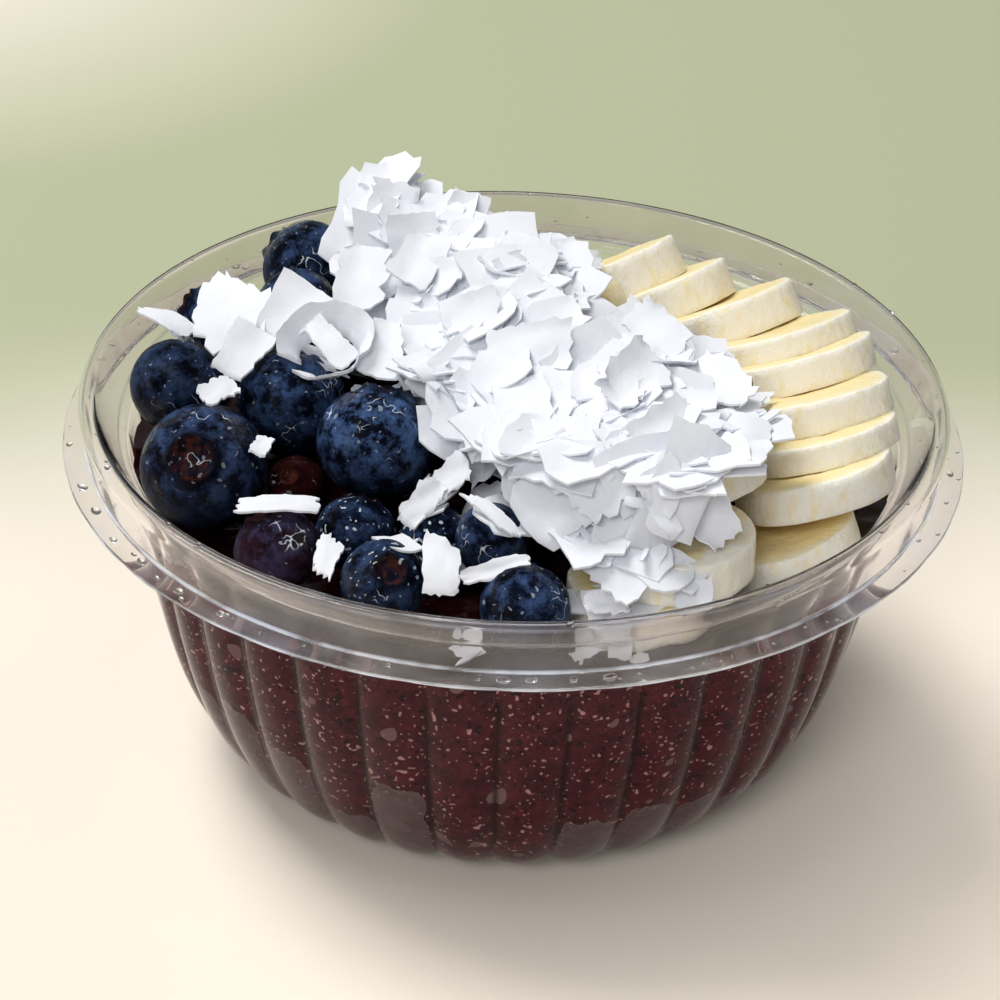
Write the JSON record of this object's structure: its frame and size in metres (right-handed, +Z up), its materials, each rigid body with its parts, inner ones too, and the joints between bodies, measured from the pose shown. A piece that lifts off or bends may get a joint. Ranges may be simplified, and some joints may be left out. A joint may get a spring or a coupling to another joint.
{
  "type": "acai bowl",
  "caption": "Fluted clear plastic bowl of acai, topped with blueberries, a fan of banana slices and a heap of coconut flakes.",
  "frame": {"origin": "centre of the bowl's flat base, on the surface that it stands on", "axes": "+Z up out of the bowl; -Y towards the front, from where the berries are on the left (-X) and the banana fan is on the right (+X)"},
  "size_m": [0.1559, 0.1558, 0.0855],
  "materials": {
    "clear_plastic": "clear thin moulded plastic with a high gloss",
    "acai": "frozen dark burgundy fruit puree with small pale specks, softly glossy",
    "berry": "dark blue skin with a pale bloom and wet glints",
    "banana": "moist pale yellow flesh",
    "coconut": "dry matt white flakes"
  },
  "bodies": {
    "root": {"bowl": "clear_plastic", "acai": "acai", "berry_01": "berry", "berry_02": "berry", "berry_03": "berry", "berry_04": "berry", "berry_05": "berry", "berry_06": "berry", "berry_07": "berry", "berry_08": "berry", "berry_09": "berry", "berry_10": "berry", "berry_11": "berry", "berry_12": "berry", "berry_13": "berry", "berry_14": "berry", "berry_15": "berry", "berry_16": "berry", "berry_17": "berry", "berry_18": "berry", "berry_19": "berry", "banana_slice_01": "banana", "banana_slice_02": "banana", "banana_slice_03": "banana", "banana_slice_04": "banana", "banana_slice_05": "banana", "banana_slice_06": "banana", "banana_slice_07": "banana", "banana_slice_08": "banana", "banana_slice_09": "banana", "banana_slice_10": "banana", "banana_slice_11": "banana", "banana_slice_12": "banana", "banana_slice_13": "banana", "banana_slice_14": "banana", "banana_slice_15": "banana", "banana_slice_16": "banana", "banana_end": "banana", "coconut_heap": "coconut", "coconut_curl": "coconut", "coconut_flake_01": "coconut", "coconut_flake_02": "coconut", "coconut_flake_03": "coconut", "coconut_flake_04": "coconut", "coconut_flake_05": "coconut", "coconut_flake_06": "coconut", "coconut_flake_07": "coconut"}
  },
  "joints": []
}
